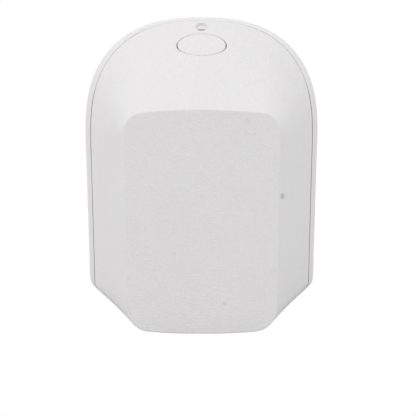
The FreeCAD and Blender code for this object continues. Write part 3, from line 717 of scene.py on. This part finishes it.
switch_low, switch_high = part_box("push_switch")
frame_thickness = 0.3 * mm
well_depth = 1.95 * mm
body_inset = 0.05 * mm
switch_body = bmesh.new()
top_z = switch_high.z - frame_thickness
plunger_axis = (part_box("push_switch_plunger")[0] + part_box("push_switch_plunger")[1]) / 2.0
add_block(
    switch_body,
    (switch_low.x + body_inset, switch_low.y + body_inset, switch_low.z),
    (switch_high.x - body_inset, switch_high.y, switch_high.z - well_depth),
    0.25 * mm,
)
rim_z = switch_high.z - well_depth - body_inset
rim_middle = Vector((plunger_axis.x, (switch_low.y + switch_high.y) / 2.0, rim_z))
half_x = (switch_high.x - switch_low.x) / 2.0
half_y = (switch_high.y - switch_low.y) / 2.0
add_holed_plate(
    switch_body,
    rim_middle,
    (half_x - body_inset, 0.0, 0.0),
    (0.0, half_y - body_inset, 0.0),
    (0.0, 0.0, top_z - rim_z),
    1.6 * mm,
)
make_piece("switch_body", switch_body, switch_plastic, "housing", "switch_plastic", "push_switch")

switch_frame = bmesh.new()
frame_middle = Vector((plunger_axis.x, (switch_low.y + switch_high.y) / 2.0, top_z))
add_holed_plate(
    switch_frame, frame_middle, (half_x, 0.0, 0.0), (0.0, half_y, 0.0), (0.0, 0.0, frame_thickness), 1.75 * mm
)
for side in (-1.0, 1.0):
    edge_x = side * (half_x + 0.02 * mm)
    clip_path = [(edge_x, frame_middle.y, top_z + frame_thickness * 0.6), (edge_x, frame_middle.y, top_z - 2.6 * mm)]
    add_strip(switch_frame, clip_path, (0.0, 2.8 * mm, 0.0), 0.22 * mm)
    for end in (-1.0, 1.0):
        rivet = Vector((side * (half_x - 0.75 * mm), frame_middle.y + end * (half_y - 0.75 * mm), switch_high.z))
        dome = [(0.42, 0.0), (0.38, 0.07), (0.22, 0.13), (0.0, 0.15)]
        add_turned(switch_frame, in_metres(dome), rivet, (0.0, 0.0, 1.0), 20)
        foot_z = switch_high.z - (1.0 if end > 0 else 3.0) * mm
        foot_y = board_face - pad_proud - 0.1 * mm
        foot_steps = ((-0.2, 0.7), (0.25, 0.7), (0.45, 0.5), (0.5, 0.0), (1.2, 0.0))
        foot_path = [(side * (half_x + out * mm), foot_y - rise * mm, foot_z) for out, rise in foot_steps]
        add_strip(switch_frame, foot_path, (0.0, 0.0, 0.7 * mm), 0.18 * mm)
make_piece("switch_frame", switch_frame, stainless, "housing", "contact_metal", "push_switch")


# Status light source
# A side-looking light source on the board's back under the light pipe: a milky block with silvered ends and a small
# dome that points up at the pipe.
source_low, source_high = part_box("status_light")
source = bmesh.new()
end_width = 0.5 * mm
add_block(
    source,
    (source_low.x + end_width, source_low.y, source_low.z),
    (source_high.x - end_width, source_high.y, source_high.z - 0.35 * mm),
    0.06 * mm,
)
source_top = Vector((0.0, (source_low.y + source_high.y) / 2.0, source_high.z - 0.4 * mm))
dome = [(0.6, 0.0), (0.58, 0.12), (0.45, 0.28), (0.25, 0.37), (0.0, 0.4)]
add_turned(source, in_metres(dome), source_top, (0.0, 0.0, 1.0), 32)
milky = moulded_plastic("milky_resin", (0.78, 0.76, 0.66), 0.22, 0.04, 2.0, 0.002, Subsurface_Weight=0.3)
make_piece("light_source_body", source, milky, "housing", "light_source_resin", "status_light")
ends = bmesh.new()
for x0, x1 in ((source_low.x, source_low.x + end_width), (source_high.x - end_width, source_high.x)):
    add_block(ends, (x0, source_low.y, source_low.z), (x1, source_high.y, source_high.z - 0.5 * mm), 0.05 * mm)
make_piece("light_source_ends", ends, solder, "housing", "lead_metal", "status_light")


# Radio
# A small board of its own with gold-plated half holes along its edges, soldered flat to the main board. A tinned
# steel screen with vent holes covers its chip.
dress(laminate("radio_laminate", (0.007, 0.02, 0.075), (0.3, 0.3, 0.2), 2.2), "radio_board")
black_resin = moulded_plastic("chip_resin", (0.017, 0.017, 0.018), 0.62, 0.25, 9.0, 0.008)
dress(black_resin, "radio_chip")
radio_low, radio_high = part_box("radio_board")
half_holes = bmesh.new()
radio_pad_pitch = 1.27
for i in range(8):
    z = (radio_low.z + radio_high.z) / 2.0 + (i - 3.5) * radio_pad_pitch * mm
    for edge_x, way in ((radio_low.x, 1.0), (radio_high.x, -1.0)):
        x0, x1 = sorted((edge_x - way * 0.03 * mm, edge_x + way * 0.7 * mm))
        low = (x0, radio_low.y - 0.03 * mm, z - 0.36 * mm)
        add_block(half_holes, low, (x1, radio_high.y, z + 0.36 * mm), 0.02 * mm, 1)
plated_gold = metal("plated_gold", (0.86, 0.66, 0.34), 0.28, (3.0, 3.0, 3.0), 0.002)
make_piece("radio_pads", half_holes, plated_gold, "housing", "contact_metal")


def cut_out(piece, cutter):
    """Cuts the closed shapes in a mesh out of a piece, and clears the cutter away."""
    tool_mesh = bpy.data.meshes.new("cutter")
    bmesh.ops.recalc_face_normals(cutter, faces=cutter.faces)
    cutter.to_mesh(tool_mesh)
    cutter.free()
    tool = bpy.data.objects.new("cutter", tool_mesh)
    bpy.context.scene.collection.objects.link(tool)
    cut = piece.modifiers.new("cut", "BOOLEAN")
    cut.operation = "DIFFERENCE"
    cut.solver = "EXACT"
    cut.object = tool
    graph = bpy.context.evaluated_depsgraph_get()
    shaped = bpy.data.meshes.new_from_object(piece.evaluated_get(graph))
    piece.modifiers.clear()
    old = piece.data
    piece.data = shaped
    bpy.data.objects.remove(tool)
    bpy.data.meshes.remove(tool_mesh)
    bpy.data.meshes.remove(old)
    shaped.set_sharp_from_angle(angle=sharp_angle)


screen_low, screen_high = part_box("radio_shield")
screen = bmesh.new()
add_block(screen, screen_low, screen_high, 0.35 * mm, 3)
tinned_steel = metal("tinned_steel", (0.64, 0.64, 0.62), 0.3, (1.2, 7.0, 7.0), 0.003)
screen_piece = make_piece("radio_screen", screen, tinned_steel, "housing", "shield_metal", "radio_shield")
vents = bmesh.new()
vent_pitch = 1.7
for column in range(-2, 3):
    for row in range(-1, 2):
        x = (screen_low.x + screen_high.x) / 2.0 + column * vent_pitch * mm
        z = (screen_low.z + screen_high.z) / 2.0 + row * vent_pitch * mm
        start = Vector((x, screen_low.y - 0.5 * mm, z))
        vent = [(0.0, 0.0), (0.42, 0.0), (0.42, 0.9), (0.0, 0.9)]
        add_turned(vents, in_metres(vent), start, (0.0, 1.0, 0.0), 20)
cut_out(screen_piece, vents)


# Antenna
# A stamped strip of nickel-plated spring bronze on two legs, soldered to the board's right edge.
dress(spring_metal, "antenna")


# Controller chip
# A square moulded chip with a round dimple at its first pin and eight tinned gull-wing leads on each side.
chip_low, chip_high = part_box("controller_chip")
chip_middle = (chip_low + chip_high) / 2.0
chip = bmesh.new()
chip_lift = 0.1 * mm
add_block(chip, chip_low, chip_high - Vector((0.0, chip_lift, 0.0)), 0.14 * mm, 2)
chip_piece = make_piece("controller_body", chip, black_resin, "housing", "chip_resin", "controller_chip")
dimple = bmesh.new()
dimple_place = Vector((chip_low.x + 1.0 * mm, chip_low.y - 0.5 * mm, chip_low.z + 1.0 * mm))
dimple_steps = [(0.0, 0.0), (0.42, 0.0), (0.38, 0.56), (0.0, 0.56)]
add_turned(dimple, in_metres(dimple_steps), dimple_place, (0.0, 1.0, 0.0), 24)
cut_out(chip_piece, dimple)

gull_wings = bmesh.new()
lead_thickness = 0.16 * mm
for low, high in solid_boxes("chip_pins"):
    middle = (low + high) / 2.0
    beside = abs(middle.x - chip_middle.x) > (chip_high.x - chip_low.x) / 2.0
    out = Vector((math.copysign(1.0, middle.x - chip_middle.x), 0.0, 0.0))
    across = Vector((0.0, 0.0, high.z - low.z))
    if not beside:
        out = Vector((0.0, 0.0, math.copysign(1.0, middle.z - chip_middle.z)))
        across = Vector((high.x - low.x, 0.0, 0.0))
    foot = board_face - pad_proud - lead_thickness / 2.0
    heart = Vector((middle.x, 0.0, middle.z))
    path = []
    for reach, rise in ((-0.6, 0.5), (-0.25, 0.5), (-0.12, 0.42), (0.0, 0.08), (0.1, 0.0), (0.45, 0.0)):
        path.append(heart + out * (reach * mm) + Vector((0.0, foot - rise * mm, 0.0)))
    add_strip(gull_wings, path, across, lead_thickness)
make_piece("controller_leads", gull_wings, solder, "housing", "lead_metal", "chip_pins")


# Smoothing capacitor
# A drawn aluminium can with a crimped neck and a scored cross on its end, standing on a moulded foot with two
# bevelled corners. The dark segment on its end marks the negative lead.
def capacitor_metal():
    """Plain aluminium with a dark printed segment on the end face."""
    material, tree, shader = new_material("capacitor_aluminium", Metallic=1.0)
    skin = place_group(
        tree, METAL_SKIN, shader, Marks_per_mm=(1.0, 8.0, 1.0), Marks_depth_mm=0.0015, Roughness=0.28
    )
    place = place_in_piece(tree)
    beside = maths(tree, "LESS_THAN", place.outputs["X"], can_middle.x - 1.1 * mm)
    at_end = maths(tree, "LESS_THAN", place.outputs["Y"], can_low.y + 0.14 * mm)
    colour = add(tree, "Mix", data_type="RGBA")
    colour.inputs[6].default_value = (0.74, 0.75, 0.76, 1.0)
    colour.inputs[7].default_value = (0.03, 0.03, 0.035, 1.0)
    tree.links.new(maths(tree, "MULTIPLY", beside, at_end), colour.inputs["Factor"])
    tree.links.new(colour.outputs[2], skin.inputs["Colour"])
    return material


can_low, can_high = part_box("smoothing_capacitor")
can_middle = (can_low + can_high) / 2.0
can_height = (can_high.y - can_low.y) / mm
can_profile = [(0.0, 0.0), (2.4, 0.0), (2.5, 0.1), (2.5, 0.75), (2.28, 0.95), (2.28, 1.1), (2.5, 1.3)]
can_profile += [(2.5, can_height - 0.3), (2.42, can_height - 0.08), (2.25, can_height), (2.05, can_height - 0.06)]
can_profile += [(1.95, can_height - 0.12), (0.0, can_height - 0.12)]
can = bmesh.new()
can_seat = Vector((can_middle.x, can_high.y, can_middle.z))
add_turned(can, in_metres(can_profile), can_seat, (0.0, -1.0, 0.0), 72)
can_piece = make_piece("capacitor_can", can, capacitor_metal(), "housing", "capacitor_metal", "smoothing_capacitor")
for long_x, long_z in ((1.5, 0.06), (0.06, 1.45)):
    score = bmesh.new()
    reach = Vector((long_x * mm, 0.3 * mm, long_z * mm))
    end_middle = Vector((can_middle.x, can_low.y - 0.1 * mm, can_middle.z))
    add_block(score, end_middle - reach, end_middle + reach)
    cut_out(can_piece, score)

foot_low, foot_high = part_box("capacitor_foot")
foot = bmesh.new()
bevelled = 1.1 * mm
outline = [
    (foot_low.x + bevelled, foot_low.z),
    (foot_high.x - bevelled, foot_low.z),
    (foot_high.x, foot_low.z + bevelled),
    (foot_high.x, foot_high.z),
    (foot_low.x, foot_high.z),
    (foot_low.x, foot_low.z + bevelled),
]


def add_slab(bm, outline, y0, y1, bevel=0.0):
    """A slab between two depths with an outline given as places across and up."""
    face = bm.faces.new([bm.verts.new((x, y1, z)) for x, z in outline])
    made = bmesh.ops.extrude_face_region(bm, geom=[face])["geom"]
    front = [item for item in made if isinstance(item, bmesh.types.BMVert)]
    for vert in front:
        vert.co.y = y0
    if bevel:
        rim = [item for item in made if isinstance(item, bmesh.types.BMEdge)]
        bmesh.ops.bevel(bm, geom=rim, offset=bevel, segments=2, profile=0.5, affect="EDGES")


add_slab(foot, outline, foot_low.y, foot_high.y, 0.1 * mm)
make_piece("capacitor_stand", foot, black_plastic, "housing", "black_plastic", "capacitor_foot")
tabs = bmesh.new()
for side in (-1.0, 1.0):
    tab_steps = ((2.0, 0.2), (3.2, 0.16))
    tab_path = [(can_middle.x, board_face - rise * mm, can_middle.z + side * out * mm) for out, rise in tab_steps]
    add_strip(tabs, tab_path, (0.8 * mm, 0.0, 0.0), 0.16 * mm)
make_piece("capacitor_tabs", tabs, solder, "housing", "lead_metal")


# Timing crystal
# A low metal can with round ends, welded along a thin rim.
crystal_low, crystal_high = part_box("timing_crystal")
crystal = bmesh.new()


def round_ended(low, high, inset, steps=12):
    """The outline of a bar with half-round ends, drawn in by inset."""
    radius = (high.z - low.z) / 2.0
    middle_z = (low.z + high.z) / 2.0
    points = []
    for centre_x, start in ((high.x - radius, -0.5), (low.x + radius, 0.5)):
        for i in range(steps + 1):
            turn = math.pi * (start + i / steps)
            reach = radius - inset
            points.append((centre_x + reach * math.cos(turn), middle_z + reach * math.sin(turn)))
    return points


rim_height = 0.2 * mm
add_slab(crystal, round_ended(crystal_low, crystal_high, 0.0), crystal_high.y - rim_height, crystal_high.y)
can_outline = round_ended(crystal_low, crystal_high, 0.14 * mm)
add_slab(crystal, can_outline, crystal_low.y, crystal_high.y - rim_height, 0.12 * mm)
make_piece("crystal_can", crystal, tinned_steel, "housing", "shield_metal", "timing_crystal")


# Chip resistors and capacitors
# Small ceramic blocks with silvered ends. The resistors are dark on top, and the capacitors are tan all through.
silver_ends, tan_blocks, dark_blocks = bmesh.new(), bmesh.new(), bmesh.new()
end_length = 0.34 * mm
for i, (low, high) in enumerate(solid_boxes("small_board_parts")):
    trim = Vector((0.02 * mm, 0.02 * mm, 0.0))
    block_low = low + trim + Vector((0.0, 0.0, end_length * 0.8))
    block_high = high - Vector((trim.x, 0.0, end_length * 0.8))
    add_block(dark_blocks if i % 3 == 0 else tan_blocks, block_low, block_high, 0.03 * mm, 1)
    add_block(silver_ends, low, (high.x, high.y, low.z + end_length), 0.05 * mm, 2)
    add_block(silver_ends, (low.x, low.y, high.z - end_length), high, 0.05 * mm, 2)
make_piece("part_ends", silver_ends, solder, "housing", "lead_metal", "small_board_parts")
tan_ceramic = moulded_plastic("tan_ceramic", (0.4, 0.26, 0.14), 0.5, 0.2, 8.0, 0.004)
make_piece("part_capacitors", tan_blocks, tan_ceramic, "housing", "chip_resin", "small_board_parts")
make_piece("part_resistors", dark_blocks, black_resin, "housing", "chip_resin", "small_board_parts")


# Lens retainer
# A moulded frame behind the lens that is welded to the front cover's ribs and clamps the lens all round its edge.
retainer_plastic = moulded_plastic("retainer_plastic", (0.72, 0.72, 0.7), 0.48, 0.05, 3.0, 0.006)
dress(retainer_plastic, "lens_retainer")


# Lens
# The flat panel in the cover's window, moulded in milky polyethylene that heat passes through. Its outer face is
# satin with two faint flecks, and the fine rings of its lenses are on the inner face.
def marked_plastic(name, marks):
    """The shells' plastic with small soft marks, each a place, radius, length to width, slope and strength."""
    material, tree, shader = new_material(name)
    skin = place_group(
        tree,
        MOULDED_SKIN,
        shader,
        Mottle=shell_mottle,
        Grain_per_mm=shell_grain_per_mm,
        Grain_depth_mm=shell_grain_depth_mm,
        Roughness=shell_roughness,
    )
    position = add(tree, "TexCoord").outputs["Object"]
    ragged = add(tree, "TexNoise", Scale=1600.0, Detail=3.0)
    tree.links.new(position, ragged.inputs["Vector"])
    kept = 1.0
    for place, radius, stretch, slope, strength in marks:
        turned = add(tree, "VectorRotate", rotation_type="X_AXIS", Center=place, Angle=slope)
        tree.links.new(position, turned.inputs["Vector"])
        away = add(tree, "VectorMath", operation="SUBTRACT")
        tree.links.new(turned.outputs["Vector"], away.inputs[0])
        away.inputs[1].default_value = place
        drawn = add(tree, "VectorMath", operation="MULTIPLY")
        tree.links.new(away.outputs[0], drawn.inputs[0])
        drawn.inputs[1].default_value = (1.0 / math.sqrt(stretch), 1.0 / stretch, 1.0)
        reach = add(tree, "VectorMath", operation="LENGTH")
        tree.links.new(drawn.outputs[0], reach.inputs[0])
        uneven = maths(tree, "MULTIPLY_ADD", ragged.outputs["Fac"], radius * 0.6, reach.outputs["Value"])
        fade = add(
            tree, "MapRange", interpolation_type="SMOOTHSTEP", From_Min=radius * 0.75, From_Max=radius * 1.6
        )
        fade.inputs["To Min"].default_value = 1.0 - strength
        tree.links.new(uneven, fade.inputs["Value"])
        kept = maths(tree, "MULTIPLY", kept, fade.outputs["Result"])
    tint = add(tree, "VectorMath", operation="SCALE")
    tint.inputs[0].default_value = shell_white
    tree.links.new(kept, tint.inputs["Scale"])
    tree.links.new(tint.outputs[0], skin.inputs["Colour"])
    return material


lens_flecks = [
    ((5.6 * mm, -25.8 * mm, 7.6 * mm), 0.45 * mm, 1.0, 0.0, 0.16),
    ((-6.7 * mm, -25.8 * mm, 19.9 * mm), 0.5 * mm, 1.0, 0.0, 0.06),
]
dress(marked_plastic("lens_plastic", lens_flecks), "fresnel_lens")


# Light pipe
# A small bar of smoke-tinted acrylic, leaning back a little, that carries the status light to the top of the cover.
smoke = (0.36, 0.24, 0.25)
smoke_acrylic = moulded_plastic("smoke_acrylic", smoke, 0.16, 0.2, 2.0, 0.001, Coat_Weight=0.5, Coat_Roughness=0.06)
dress(smoke_acrylic, "light_pipe")


# Test button
# A round cap in the slope of the cover's top, of the same plastic as the cover. Two arms behind it let it move.
dress(moulded_plastic("button_plastic", shell_white, *shell_skin), "test_button")


# Front cover
# The arched, flared shell that holds the lens, the button and the light pipe, moulded in matt white ABS. It pulls off
# the rear housing to the front. Its right side has a small rub mark, and its frame has a faint fleck above the lens.
rub_mark = ((19.7 * mm, -21.5 * mm, 33.37 * mm), 0.72 * mm, 5.6, 0.165, 0.35)
frame_fleck = ((11.1 * mm, -25.8 * mm, 52.5 * mm), 0.8 * mm, 1.0, 0.0, 0.07)
dress(marked_plastic("white_shell", [rub_mark, frame_fleck]), "front_cover")


# The studio
# A plain pale floor under an even white sky, as in a light tent, with one soft light from the left.
floor_mesh = bpy.data.meshes.new("floor")
floor_reach = 3.0
floor_corners = [(x * floor_reach, y * floor_reach, 0.0) for x, y in ((-1, -1), (1, -1), (1, 1), (-1, 1))]
floor_mesh.from_pydata(floor_corners, [], [(0, 1, 2, 3)])
floor = bpy.data.objects.new("floor", floor_mesh)
bpy.context.scene.collection.objects.link(floor)
floor_finish, floor_tree, floor_shader = new_material(
    "floor_finish", Roughness=0.9, Specular_IOR_Level=0.0, Emission_Color=(1.0, 1.0, 1.0, 1.0)
)
floor_grey = 0.64
floor_white = 1.005
floor_seen = add(floor_tree, "LightPath").outputs["Is Camera Ray"]
floor_shade = maths(floor_tree, "MULTIPLY_ADD", floor_seen, -floor_grey, floor_grey)
floor_tree.links.new(floor_shade, floor_shader.inputs["Base Color"])
floor_tree.links.new(maths(floor_tree, "MULTIPLY", floor_seen, floor_white), floor_shader.inputs["Emission Strength"])
floor_mesh.materials.append(floor_finish)

world = bpy.data.worlds.new("studio_sky")
world.use_nodes = True
sky = world.node_tree.nodes["Background"]
sky.inputs["Color"].default_value = (1.0, 1.0, 1.0, 1.0)
sky.inputs["Strength"].default_value = 1.009
bpy.context.scene.world = world

lamp_data = bpy.data.lights.new("left_light", "AREA")
lamp_data.size = 0.8
lamp_data.energy = 1.05
lamp = bpy.data.objects.new("left_light", lamp_data)
lamp.location = (-0.9, -0.5, 0.5)
lamp_aim = Vector((0.0, 0.0, 0.03))
lamp.rotation_euler = (lamp_aim - lamp.location).to_track_quat("-Z", "Y").to_euler()
bpy.context.scene.collection.objects.link(lamp)

# The camera looks at the front from a little above, as the photograph does.
camera_rise = math.radians(9.422)
camera_turn = math.radians(-0.264)
camera_distance = 0.52
camera_aim = Vector((0.001605, 0.0, 0.026931))
camera_data = bpy.data.cameras.new("camera")
camera_data.sensor_width = 36.0
camera_data.lens = 176.334
camera_data.clip_start = 0.01
camera = bpy.data.objects.new("camera", camera_data)
camera_way = Matrix.Rotation(camera_turn, 3, "Z") @ Vector((0.0, -math.cos(camera_rise), math.sin(camera_rise)))
camera.location = camera_aim + camera_distance * camera_way
camera.rotation_euler = (camera_aim - camera.location).to_track_quat("-Z", "Y").to_euler()
bpy.context.scene.collection.objects.link(camera)
bpy.context.scene.camera = camera
bpy.context.scene.view_settings.view_transform = "Standard"
